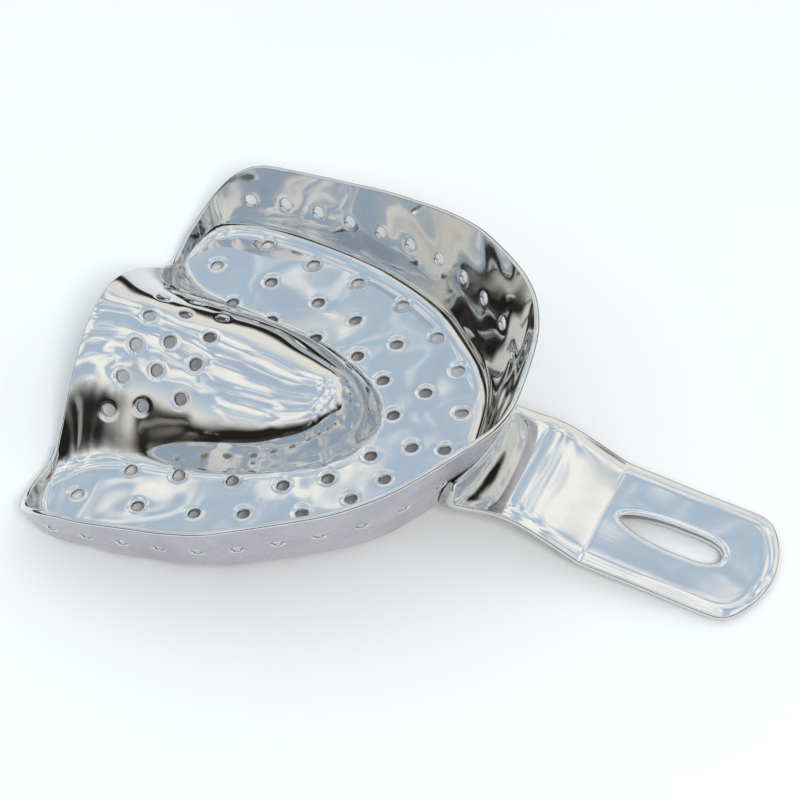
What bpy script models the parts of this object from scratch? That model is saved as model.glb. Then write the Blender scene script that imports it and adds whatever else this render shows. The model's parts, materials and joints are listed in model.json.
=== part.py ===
"""Perforated upper impression tray: a drawn sheet-metal shell with a strip handle brazed to its front wall.

The tray is drawn with its floor flat at z = 0, the handle towards +X and the midline on y = 0.
It is then tipped onto the table, where it rests on the two heels of the floor and the tip of the handle.
"""

import math

import bmesh
import bpy
from mathutils import Vector

MM = 0.001

# Sheet metal
SHEET = 0.9 * MM
STRIP = 1.6 * MM
GAP = 0.3 * MM

# Plan of the floor: half an ellipse in front, a squared heel behind
ARCH_CENTRE = -36.0 * MM
ARCH_LENGTH = 48.8 * MM
ARCH_HALF_WIDTH = 34.2 * MM
HEEL_LENGTH = 13.2 * MM
HEEL_WIDTH = 14.2 * MM
HEEL_SQUARENESS = 3.5
REAR_EDGE = -48.6 * MM
SPINE_FRONT = -16.0 * MM
SPINE_POWER = 0.9
FILLET = 2.6 * MM
FILLET_SHARE = 0.45
STATION_STEP = 0.002

# Wall: its height and its outward lean, from the side to the front
SIDE_HEIGHT = 11.4 * MM
FRONT_RISE = 9.4 * MM
FRONT_RISE_POWER = 1.4
FRENUM_DIP = 4.5 * MM
FRENUM_ANGLE = math.radians(12)
HEEL_POWER = 4.1
HEEL_LIP = 3.0 * MM
HEEL_LIP_END = 0.4 * MM
HEEL_LIP_POWER = 8
SIDE_LEAN = 0.35
FRONT_LEAN = 0.50

# Palatal vault: a ridge that falls from the rear edge to a steep nose
VAULT_REAR_HEIGHT = 17.0 * MM
VAULT_NOSE_HEIGHT = 9.0 * MM
VAULT_NOSE = -4.6 * MM
VAULT_NOSE_ROUND = 4.0 * MM
VAULT_NARROWING = 2.6
VAULT_HALF_WIDTH = 16.6 * MM
VAULT_FLARE = 7.0 * MM
VAULT_FLARE_LENGTH = 6.0 * MM
VAULT_POWER = 1.5
VAULT_SLOPE_STEP = 0.1 * MM

# Perforations
HOLE_RADIUS = 1.0 * MM
HOLE_SIDES = 8
PUNCH_LENGTH = 6.0 * MM
INNER_ROW = ((-37.5, 18.5), (-30, 17), (-21.5, 15.5), (-13.5, 14), (-7.5, 10.5), (-3, 4.3))
MIDDLE_ROW = ((-43.5, 25.3), (-33.5, 24.5), (-24.5, 23), (-17, 21), (-8.5, 18))
OUTER_ROW = ((-37.5, 31.8), (-28.5, 30), (-20, 28.5), (-11, 26), (-3, 21.4), (3, 16), (7, 8))
FRONT_HOLES = ((-2.5, -13), (1, -8), (2.5, -1), (0, 10), (7.6, 0))
VAULT_ROWS = ((-40.4, (0, 4.8, 9, 13)), (-35.7, (2.8, 7, 11.3)), (-30.3, (0, 4.8, 9.4)))
VAULT_ROW_BOW = 0.015
WALL_HOLES = 11
WALL_HOLE_FIRST = 12.0 * MM
WALL_HOLE_PITCH = 5.9 * MM
WALL_HOLE_HEIGHT = 0.52

# Handle: side profile of the strip's middle surface, from the foot on the wall to the tip
HANDLE_HALF_WIDTH = 10.0 * MM
FOOT_HALF_SPAN = 0.19
FOOT_TOP = 10.0 * MM
FOOT_BOTTOM = 4.0 * MM
FOOT_BEND_PULL = 3.2 * MM
HUMP = (21.0 * MM, 1.5 * MM)
HUMP_SLOPE = -0.12
HUMP_PULL = 4.0 * MM
STEP_END = (33.5 * MM, -5.2 * MM)
STEP_SLOPE = -0.62
STEP_PULL = 5.0 * MM
END_SLOPE = -0.227
TIP = 60.2 * MM
TIP_ROUND = 14.5 * MM
FOOT_ROWS = 5
BEND_ROWS = 7
STEP_ROWS = 7
END_ROWS = 6
STRIP_COLUMNS = 12

# Teardrop slot in the end of the handle
SLOT_NARROW_END = 36.6 * MM
SLOT_WIDE_CENTRE = 49.6 * MM
SLOT_NARROW = 0.8 * MM
SLOT_WIDE = 2.7 * MM
SLOT_STEPS = 8
SLOT_PUNCH_TOP = -0.4 * MM
SLOT_PUNCH_BOTTOM = -21.0 * MM

# Braze fillets beside the foot
BRAZE_SIZE = 1.0 * MM
BRAZE_BOTTOM = 3.0 * MM
BRAZE_ROWS = 8
STATION_LENGTH = 56.0 * MM

# Mesh density
MERGE = 0.001 * MM
MIDLINE_MERGE = 0.01 * MM
CREASE_ANGLE = math.radians(40)
FRONT_STATIONS = 22
HEEL_STATIONS = 11
FLOOR_STEPS = 15
FILLET_STEPS = 3
WALL_STEPS = 3


def clear_scene():
    """Remove every object of the start-up scene."""
    for obj in list(bpy.data.objects):
        bpy.data.objects.remove(obj, do_unlink=True)


def collection(name):
    """Return a new collection in the scene."""
    made = bpy.data.collections.new(name)
    bpy.context.scene.collection.children.link(made)
    return made


def metal(name, colour, roughness):
    """Return a plain metal material."""
    material = bpy.data.materials.new(name)
    material.use_nodes = True
    shader = material.node_tree.nodes["Principled BSDF"]
    shader.inputs["Base Color"].default_value = (*colour, 1)
    shader.inputs["Metallic"].default_value = 1
    shader.inputs["Roughness"].default_value = roughness
    return material


def add_object(name, bm, where, material=None):
    """Turn a bmesh into an object of a collection."""
    mesh = bpy.data.meshes.new(name)
    bm.to_mesh(mesh)
    bm.free()
    obj = bpy.data.objects.new(name, mesh)
    where.objects.link(obj)
    if material:
        mesh.materials.append(material)
        mesh.shade_smooth()
        mesh.set_sharp_from_angle(angle=CREASE_ANGLE)
    return obj


def skin(bm, rows):
    """Join rows of points of equal length with quads, and return their vertices."""
    grid = [[bm.verts.new(point) for point in row] for row in rows]
    for row, following in zip(grid, grid[1:]):
        for a, b, c, d in zip(row, row[1:], following[1:], following):
            bm.faces.new((a, b, c, d))
    return grid


def outline(station):
    """Plan point and outward direction of the floor's edge.

    The station runs from 0 at the front to 1 at the side, and to 2 at the end of the heel.
    """
    if station <= 1:
        angle = station * math.pi / 2
        point = Vector((ARCH_CENTRE + ARCH_LENGTH * math.cos(angle), ARCH_HALF_WIDTH * math.sin(angle), 0))
        outward = Vector((math.cos(angle) / ARCH_LENGTH, math.sin(angle) / ARCH_HALF_WIDTH, 0))
    else:
        angle = (station - 1) * math.pi / 2
        back, side = math.sin(angle), max(math.cos(angle), 0)
        power = 2 / HEEL_SQUARENESS
        point = Vector((ARCH_CENTRE - HEEL_LENGTH * back**power, HEEL_WIDTH * side**power, 0))
        point.y += ARCH_HALF_WIDTH - HEEL_WIDTH
        outward = Vector((-(back ** (2 - power)) / HEEL_LENGTH, side ** (2 - power) / HEEL_WIDTH, 0))
    return point, outward.normalized()


def station_at(distance):
    """Station at a distance along the floor's edge from the front."""
    station = 0.0
    while distance > 0:
        following = station + STATION_STEP
        distance -= (outline(following)[0] - outline(station)[0]).length
        station = following
    return station


def wall_height(station):
    """Height of the rim above the floor."""
    if station > 1:
        fall = max(math.cos((station - 1) * math.pi / 2), 0) ** HEEL_POWER
        lip = HEEL_LIP - (HEEL_LIP - HEEL_LIP_END) * (station - 1) ** HEEL_LIP_POWER
        return lip + (SIDE_HEIGHT - HEEL_LIP) * fall
    angle = station * math.pi / 2
    dip = FRENUM_DIP * math.exp(-((angle / FRENUM_ANGLE) ** 2))
    return SIDE_HEIGHT + FRONT_RISE * max(math.cos(angle), 0) ** FRONT_RISE_POWER - dip


def wall_slope(station):
    """Unit vector up the wall."""
    forward = math.cos(min(station, 1) * math.pi / 2) ** 2
    lean = SIDE_LEAN + (FRONT_LEAN - SIDE_LEAN) * forward
    return (outline(station)[1] * lean + Vector((0, 0, 1))).normalized()


def wall_point(station, height, outside=0.0):
    """Point on the wall's middle surface at a height, moved out along its normal."""
    point, outward = outline(station)
    slope = wall_slope(station)
    normal = (outward - slope * outward.dot(slope)).normalized()
    return point + slope * (height / slope.z) + normal * outside, normal


def vault_height(x, y):
    """Height of the palatal vault above the floor."""
    along = max(x - REAR_EDGE, 0) / (VAULT_NOSE - REAR_EDGE)
    if along >= 1:
        return 0.0
    ridge = VAULT_REAR_HEIGHT + (VAULT_NOSE_HEIGHT - VAULT_REAR_HEIGHT) * along
    flare = VAULT_FLARE * math.exp(-max(x - REAR_EDGE, 0) / VAULT_FLARE_LENGTH)
    rounding = math.tanh((VAULT_NOSE - x) / VAULT_NOSE_ROUND)
    narrowing = math.sqrt(1 - along**VAULT_NARROWING)
    half_width = VAULT_HALF_WIDTH * narrowing + flare
    across = 1 - (y / half_width) ** 2
    return ridge * rounding * max(across, 0) ** VAULT_POWER


def raised(point):
    """A point of the floor or wall, lifted by the vault where it runs into it."""
    return point + Vector((0, 0, vault_height(point.x, abs(point.y))))


def stations():
    """Stations round half of the tray, front to heel."""
    front = [i / FRONT_STATIONS for i in range(FRONT_STATIONS)]
    heel = [1 + i / HEEL_STATIONS for i in range(HEEL_STATIONS + 1)]
    return front + heel


def section(station):
    """Points of the sheet from the midline, out over the floor, round the fillet and up the wall."""
    edge, outward = outline(station)
    height = wall_height(station)
    slope = wall_slope(station)
    fillet = min(FILLET, FILLET_SHARE * height)
    start = edge - outward * fillet
    share = (station / 2) ** SPINE_POWER
    spine = Vector((SPINE_FRONT + (REAR_EDGE - SPINE_FRONT) * share, 0, 0))
    points = []
    for i in range(FLOOR_STEPS):
        points.append(spine.lerp(start, i / FLOOR_STEPS))
    top = edge + slope * fillet
    for i in range(FILLET_STEPS + 1):
        t = i / FILLET_STEPS
        points.append(start.lerp(edge, t).lerp(edge.lerp(top, t), t))
    rim = edge + slope * (height / slope.z)
    for i in range(1, WALL_STEPS + 1):
        points.append(top.lerp(rim, i / WALL_STEPS))
    return [raised(point) for point in points]


def add_punch(bm, point, normal):
    """Add one round cutter through the sheet."""
    turn = Vector(normal).to_track_quat("Z", "Y").to_matrix().to_4x4()
    turn.translation = point
    bmesh.ops.create_cone(
        bm, cap_ends=True, segments=HOLE_SIDES, radius1=HOLE_RADIUS, radius2=HOLE_RADIUS,
        depth=PUNCH_LENGTH, matrix=turn,
    )


def vault_normal(x, y):
    """Upward normal of the vault."""
    step = VAULT_SLOPE_STEP
    along = vault_height(x + step, y) - vault_height(x - step, y)
    across = vault_height(x, y + step) - vault_height(x, y - step)
    return Vector((-along, -across, 2 * step)).normalized()


def hole_places():
    """Points and normals of every perforation."""
    places = []
    pairs = INNER_ROW + MIDDLE_ROW + OUTER_ROW
    for x, y in (*pairs, *((x, -y) for x, y in pairs), *FRONT_HOLES):
        places.append((Vector((x * MM, y * MM, 0)), Vector((0, 0, 1))))
    for x, row in VAULT_ROWS:
        for y in sorted({*row, *(-y for y in row)}):
            point = raised(Vector(((x - VAULT_ROW_BOW * y**2) * MM, y * MM, 0)))
            places.append((point, vault_normal(point.x, point.y)))
    for i in range(WALL_HOLES):
        station = station_at(WALL_HOLE_FIRST + WALL_HOLE_PITCH * i)
        point, normal = wall_point(station, WALL_HOLE_HEIGHT * wall_height(station))
        for side in (1, -1):
            mirror = Vector((1, side, 1))
            places.append((point * mirror, normal * mirror))
    return places


def tray_shell(parts, cutters):
    """The drawn and perforated sheet."""
    bm = bmesh.new()
    skin(bm, [section(station) for station in stations()])
    bmesh.ops.remove_doubles(bm, verts=bm.verts, dist=MERGE)
    bmesh.ops.recalc_face_normals(bm, faces=bm.faces)
    shell = add_object("tray_shell", bm, parts, metal("polished_steel", (0.75, 0.77, 0.79), 0.12))
    mirror = shell.modifiers.new("other_half", "MIRROR")
    mirror.use_axis = (False, True, False)
    mirror.merge_threshold = MIDLINE_MERGE
    sheet = shell.modifiers.new("sheet", "SOLIDIFY")
    sheet.thickness = SHEET
    sheet.offset = 0
    sheet.use_even_offset = True
    sheet.use_quality_normals = True

    bm = bmesh.new()
    for point, normal in hole_places():
        add_punch(bm, point, normal)
    punches = add_object("punches", bm, cutters)
    punches.hide_render = True
    punches.display_type = "WIRE"
    perforate = shell.modifiers.new("perforate", "BOOLEAN")
    perforate.operation = "DIFFERENCE"
    perforate.object = punches
    return shell


def bezier(start, start_pull, end_pull, end, count):
    """Points of a cubic curve after its start, up to its end."""
    points = []
    for i in range(1, count + 1):
        t = i / count
        first, second, third = start.lerp(start_pull, t), start_pull.lerp(end_pull, t), end_pull.lerp(end, t)
        points.append(first.lerp(second, t).lerp(second.lerp(third, t), t))
    return points


def strip_column(across):
    """One lengthwise line of the handle, at a share of its half width from -1 to 1."""
    side = Vector((1, -1 if across < 0 else 1, 1))
    station = FOOT_HALF_SPAN * abs(across)
    outside = (SHEET + STRIP) / 2 + GAP
    line = []
    for i in range(FOOT_ROWS):
        height = FOOT_TOP + (FOOT_BOTTOM - FOOT_TOP) * i / (FOOT_ROWS - 1)
        line.append(wall_point(station, height, outside)[0] * side)

    y = across * HANDLE_HALF_WIDTH
    hump = Vector((HUMP[0], y, HUMP[1]))
    hump_way = Vector((1, 0, HUMP_SLOPE)) * HUMP_PULL
    down_wall = line[-1] - wall_slope(station) * side * FOOT_BEND_PULL
    line += bezier(line[-1], down_wall, hump - hump_way, hump, BEND_ROWS)

    step_end = Vector((STEP_END[0], y, STEP_END[1]))
    step_way = Vector((1, 0, STEP_SLOPE)) * STEP_PULL
    line += bezier(hump, hump + hump_way, step_end - step_way, step_end, STEP_ROWS)

    tip = TIP - TIP_ROUND + math.sqrt(TIP_ROUND**2 - y**2)
    for i in range(1, END_ROWS + 1):
        x = STEP_END[0] + (tip - STEP_END[0]) * i / END_ROWS
        line.append(Vector((x, y, STEP_END[1] + END_SLOPE * (x - STEP_END[0]))))
    return line


def slot_outline():
    """Teardrop that widens towards the tip."""
    length = SLOT_WIDE_CENTRE - SLOT_NARROW_END
    side = []
    for i in range(SLOT_STEPS):
        t = i / SLOT_STEPS
        half = SLOT_NARROW + (SLOT_WIDE - SLOT_NARROW) * math.sin(t * math.pi / 2)
        side.append((SLOT_NARROW_END + length * t, half))
    for i in range(SLOT_STEPS // 2):
        turn = i / SLOT_STEPS * math.pi
        side.append((SLOT_WIDE_CENTRE + SLOT_WIDE * math.sin(turn), SLOT_WIDE * math.cos(turn)))
    tip = [(SLOT_WIDE_CENTRE + SLOT_WIDE, 0)]
    return [(x, -y) for x, y in side] + tip + side[::-1]


def handle(parts, cutters):
    """The bent strip with its foot on the front wall and a slot in its end."""
    bm = bmesh.new()
    skin(bm, [strip_column(2 * i / STRIP_COLUMNS - 1) for i in range(STRIP_COLUMNS + 1)])
    bmesh.ops.recalc_face_normals(bm, faces=bm.faces)
    strip = add_object("handle", bm, parts, metal("satin_steel", (0.72, 0.74, 0.76), 0.18))
    sheet = strip.modifiers.new("sheet", "SOLIDIFY")
    sheet.thickness = STRIP
    sheet.offset = 0
    sheet.use_even_offset = True

    bm = bmesh.new()
    face = bm.faces.new([bm.verts.new((x, y, SLOT_PUNCH_TOP)) for x, y in slot_outline()])
    made = bmesh.ops.extrude_face_region(bm, geom=[face])
    lower = [item for item in made["geom"] if isinstance(item, bmesh.types.BMVert)]
    bmesh.ops.translate(bm, verts=lower, vec=(0, 0, SLOT_PUNCH_BOTTOM - SLOT_PUNCH_TOP))
    bmesh.ops.recalc_face_normals(bm, faces=bm.faces)
    slot = add_object("slot_punch", bm, cutters)
    slot.hide_render = True
    slot.display_type = "WIRE"
    cut = strip.modifiers.new("slot", "BOOLEAN")
    cut.operation = "DIFFERENCE"
    cut.object = slot
    return strip


def braze(parts, name, side):
    """A fillet of braze metal in the corner between the foot's edge and the wall."""
    near = FOOT_HALF_SPAN + GAP / STATION_LENGTH
    far = near + BRAZE_SIZE / STATION_LENGTH
    low = SHEET / 2 + GAP
    mirror = Vector((1, side, 1))
    rows = []
    for i in range(BRAZE_ROWS + 1):
        height = BRAZE_BOTTOM + (FOOT_TOP - BRAZE_BOTTOM) * i / BRAZE_ROWS
        corners = ((near, low), (far, low), (near, low + BRAZE_SIZE))
        points = [wall_point(station, height, out)[0] * mirror for station, out in corners]
        rows.append(points + points[:1])
    bm = bmesh.new()
    grid = skin(bm, rows)
    bm.faces.new(grid[0][:3])
    bm.faces.new(grid[-1][:3])
    bmesh.ops.remove_doubles(bm, verts=bm.verts, dist=MERGE)
    bmesh.ops.recalc_face_normals(bm, faces=bm.faces)
    return add_object(name, bm, parts, metal("braze_metal", (0.68, 0.68, 0.66), 0.3))


def stand_on_table(pieces, cutters):
    """Tip the tray about its width until heels and handle tip touch the table, and centre it there."""
    stand = bpy.data.objects.new("stand", None)
    bpy.context.scene.collection.objects.link(stand)
    for obj in [*pieces, *cutters.objects]:
        obj.parent = stand
    points = evaluated_points(pieces)
    tip = max(points, key=lambda point: point.x - point.z)
    tilt = min(math.atan2(point.z - tip.z, tip.x - point.x) for point in points if point.x < REAR_EDGE / 2)
    stand.rotation_euler.y = -tilt
    points = evaluated_points(pieces)
    low = [min(point[axis] for point in points) for axis in range(3)]
    high = [max(point[axis] for point in points) for axis in range(3)]
    stand.location = (-(low[0] + high[0]) / 2, -(low[1] + high[1]) / 2, -low[2])


def evaluated_points(pieces):
    """World points of the finished pieces."""
    bpy.context.view_layer.update()
    graph = bpy.context.evaluated_depsgraph_get()
    points = []
    for obj in pieces:
        made = obj.evaluated_get(graph)
        points += [made.matrix_world @ vertex.co for vertex in made.data.vertices]
    return points


def build():
    """Model the tray."""
    clear_scene()
    parts = collection("impression_tray")
    cutters = collection("cutters")
    pieces = [
        tray_shell(parts, cutters),
        handle(parts, cutters),
        braze(parts, "braze_left", 1),
        braze(parts, "braze_right", -1),
    ]
    stand_on_table(pieces, cutters)


build()
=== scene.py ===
"""Dresses the impression tray: its perforated shell, handle and braze seams, with light, floor and camera."""

import json
import logging
import math
from collections.abc import Callable, Mapping, Sequence
from dataclasses import dataclass, field
from enum import Enum

import bpy
import numpy as np
from mathutils import Matrix, Vector
from mathutils.geometry import delaunay_2d_cdt


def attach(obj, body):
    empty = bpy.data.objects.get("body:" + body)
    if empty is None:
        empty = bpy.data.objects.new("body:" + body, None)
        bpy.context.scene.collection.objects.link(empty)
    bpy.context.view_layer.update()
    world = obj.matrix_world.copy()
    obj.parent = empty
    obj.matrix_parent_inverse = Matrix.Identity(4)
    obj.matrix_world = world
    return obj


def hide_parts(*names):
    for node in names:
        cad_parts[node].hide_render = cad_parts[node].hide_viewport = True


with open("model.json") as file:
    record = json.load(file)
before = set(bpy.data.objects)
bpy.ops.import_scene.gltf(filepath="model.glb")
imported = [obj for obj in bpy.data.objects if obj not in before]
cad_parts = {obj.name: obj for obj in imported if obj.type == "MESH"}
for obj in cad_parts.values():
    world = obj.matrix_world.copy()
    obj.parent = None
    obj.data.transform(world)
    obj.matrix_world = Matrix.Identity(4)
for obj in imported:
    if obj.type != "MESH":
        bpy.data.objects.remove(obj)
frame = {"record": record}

LOG = logging.getLogger("impression_tray")
MM = 0.001
QUARTER = math.pi / 2

Array = np.ndarray
Surface = Callable[[Array], Array]
Shape = tuple[Array, Array, list[list[int]], list[int]]
Spots = tuple[tuple[float, float], ...]
Waves = tuple[tuple[float, ...], ...]
Colour = tuple[float, float, float, float]

UP = np.array([0.0, 0.0, 1.0])
MIRROR = np.array([1.0, -1.0])


class Side(Enum):
    """The two sides of the tray, as the sign of Y."""

    LEFT = 1
    RIGHT = -1


class Face(Enum):
    """The material places of a pressed sheet."""

    INSIDE = 0
    OUTSIDE = 1


# Plain helpers on arrays of points, in millimetres


def unit(vectors: Array) -> Array:
    """Returns the vectors at length one."""
    return vectors / np.maximum(np.linalg.norm(vectors, axis=-1, keepdims=True), 1e-12)


def smooth(value: Array) -> Array:
    """Returns a smooth step of a value from 0 to 1."""
    share = np.clip(value, 0.0, 1.0)
    return share * share * (3.0 - 2.0 * share)


def pair(first: Array, second: Array) -> Array:
    """Returns two columns as plan points."""
    return np.stack(np.broadcast_arrays(first, second), -1).astype(float)


def slopes(value: Surface, plan: Array, reach: float = 0.02) -> tuple[Array, Array]:
    """Finds how a surface, or a value on it, grows along both plan directions.

    Args:
        value: Maps plan points to points in space, or to one number each.
        plan: The plan points.
        reach: The half step of the difference.

    Returns:
        The growth along each direction at each point.
    """
    along, across = np.array([reach, 0.0]), np.array([0.0, reach])
    first = (value(plan + along) - value(plan - along)) / (2 * reach)
    second = (value(plan + across) - value(plan - across)) / (2 * reach)
    return first, second


def raised(plan: Array, height: float = 0.0) -> Array:
    """Returns plan points as points in space at one height."""
    return np.concatenate([plan, np.full((len(plan), 1), height)], -1)


def sines(points: Array, waves: Waves) -> Array:
    """Returns a sum of plane waves, each given by its direction, phase and height."""
    total = np.zeros(len(points))
    for *way, phase, height in waves:
        total += height * np.sin(points @ np.array(way) + phase)
    return total


def inset(loop: Array, distance: float) -> Array:
    """Returns a closed plan loop moved inwards, or outwards for a negative distance."""
    way = np.roll(loop, -1, axis=0) - np.roll(loop, 1, axis=0)
    after = np.roll(loop, -1, axis=0)
    turn = np.sign(np.sum(loop[:, 0] * after[:, 1] - loop[:, 1] * after[:, 0]))
    return loop + unit(np.stack([-way[:, 1], way[:, 0]], -1)) * turn * distance


def cubic(start: Array, leave: Array, arrive: Array, end: Array, share: Array) -> Array:
    """Returns points on a cubic curve at the given shares of its length."""
    t = share[:, None]
    return (1 - t) ** 3 * start + 3 * (1 - t) ** 2 * t * leave + 3 * (1 - t) * t**2 * arrive + t**3 * end


def inside(polygon: Array, points: Array) -> Array:
    """Tells which plan points lie in a polygon.

    Args:
        polygon: The corners of a closed outline.
        points: The plan points to test.

    Returns:
        One truth value for each point.
    """
    found = np.zeros(len(points), bool)
    x, y = points[:, 0], points[:, 1]
    for (ax, ay), (bx, by) in zip(polygon, np.roll(polygon, -1, axis=0)):
        if ay == by:
            continue
        crossing = (ay > y) != (by > y)
        found ^= crossing & (x < (bx - ax) * (y - ay) / (by - ay) + ax)
    return found


def clearance(loop: Array, points: Array) -> Array:
    """Returns each plan point's distance to the nearest point of a loop."""
    nearest = np.full(len(points), np.inf)
    for corner in loop:
        nearest = np.minimum(nearest, np.hypot(*(points - corner).T))
    return nearest


def honeycomb(low: Array, high: Array, pitch: float) -> Array:
    """Returns a grid of plan points in staggered rows over a box."""
    rows = np.arange(low[1], high[1], pitch * math.sqrt(3) / 2)
    columns = np.arange(low[0], high[0], pitch)
    x, y = np.meshgrid(columns, rows)
    x = x + np.where(np.arange(len(rows)) % 2, pitch / 2, 0.0)[:, None]
    return pair(x.ravel(), y.ravel())


def with_rows(fill: Array, rows: Sequence[Array], space: float) -> Array:
    """Returns loose plan points with guide rows laid among them, and the rows' surroundings cleared."""
    free = np.min([clearance(row, fill) for row in rows], axis=0) > space
    return np.concatenate([fill[free], *rows])


# Sheet metal as a mesh: plan charts, punched holes and rounded edges


@dataclass
class Hole:
    """A round punched hole in a sheet, at a plan point of one chart."""

    plan: Array
    radius: float
    sink: float
    centre: Array = field(init=False)
    normal: Array = field(init=False)
    to_plan: Array = field(init=False)

    def settle(self, surface: Surface, up: float) -> None:
        """Finds where the hole lies in space and how round it is in the plan.

        Args:
            surface: The chart's own surface.
            up: The sign that turns the chart's normal to the inside of the tray.
        """
        self.centre = surface(self.plan[None])[0]
        first, second = slopes(surface, self.plan[None])
        self.normal = unit(np.cross(first, second))[0] * up
        along = unit(first)[0]
        across = np.cross(self.normal, along)
        tangents = np.stack([first[0], second[0]], -1)
        self.to_plan = np.linalg.inv(np.stack([along, across]) @ tangents)

    def ring(self, radius: float, sides: int, turn: float = 0.0) -> Array:
        """Returns a closed ring of plan points at a true radius round the hole."""
        angles = (np.arange(sides) + turn) * 2 * math.pi / sides
        return self.plan + radius * pair(np.cos(angles), np.sin(angles)) @ self.to_plan.T

    def space(self, plan: Array) -> Array:
        """Returns the true distance of plan points from the hole's middle."""
        return np.linalg.norm((plan - self.plan) @ np.linalg.inv(self.to_plan).T, axis=-1)

    def dip(self, points: Array, width: float) -> Array:
        """Returns how far the hole's rolled edge sinks the sheet at points in space."""
        away = np.linalg.norm(points - self.centre, axis=-1)
        fall = self.sink * np.exp(-(((away - self.radius) / width) ** 2))
        return -fall[:, None] * self.normal


@dataclass
class Chart:
    """A flat plan of part of a sheet, with what it maps to in space."""

    surface: Surface
    outline: Array
    fill: Array
    up: float = 1.0
    thickness: Surface | None = None
    holes: list[Hole] = field(default_factory=list)
    slots: list[Array] = field(default_factory=list)
    ring_sides: int = 24
    ring_steps: tuple[float, ...] = (0.14, 0.3, 0.5, 0.8)
    spacing: float = 0.9
    edge_share: float = 0.45
    ring_gap: float = 0.35
    hole_share: float = 0.97
    merge: float = 1e-5
    least_area: float = 1e-9

    def mesh(self) -> tuple[Array, Array]:
        """Fills the plan with triangles.

        Returns:
            The plan points and the triangles, turned to the inside of the tray.
        """
        loops = [self.outline] + [h.ring(h.radius, self.ring_sides) for h in self.holes] + self.slots
        loose = self.fill[inside(self.outline, self.fill)]
        margin = self.edge_share * self.spacing
        loose = loose[clearance(self.outline, loose) > margin]
        for slot in self.slots:
            loose = loose[(clearance(slot, loose) > margin) & ~inside(slot, loose)]
        rings = []
        for hole in self.holes:
            loose = loose[hole.space(loose) > hole.radius + self.ring_steps[-1] + self.ring_gap]
            for turn, step in enumerate(self.ring_steps, 1):
                rings.append(hole.ring(hole.radius + step, self.ring_sides, turn / 2))
        rims = np.concatenate([np.zeros((0, 2)), *rings])
        rims = rims[inside(self.outline, rims)]
        points = np.concatenate(loops + [rims, loose])
        edges: list[tuple[int, int]] = []
        start = 0
        for loop in loops:
            count = len(loop)
            edges += [(start + i, start + (i + 1) % count) for i in range(count)]
            start += count
        result = delaunay_2d_cdt([Vector(p) for p in points], edges, [], 2, self.merge)
        origin = [indices[0] if indices else -1 for indices in result[3]]
        plan = np.array([points[i] if i >= 0 else tuple(v) for i, v in zip(origin, result[0])])
        triangles = np.array([f for f in result[2] if len(f) == 3])
        a, b, c = (plan[triangles[:, i]] for i in range(3))
        turn = (b - a)[:, 0] * (c - a)[:, 1] - (b - a)[:, 1] * (c - a)[:, 0]
        keep = np.abs(turn) > self.least_area
        middle = (a + b + c) / 3
        for hole in self.holes:
            keep &= hole.space(middle) > hole.radius * self.hole_share
        for slot in self.slots:
            keep &= ~inside(slot, middle)
        flip = turn * self.up < 0
        triangles[flip] = triangles[flip][:, ::-1]
        return plan, triangles[keep]


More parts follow.
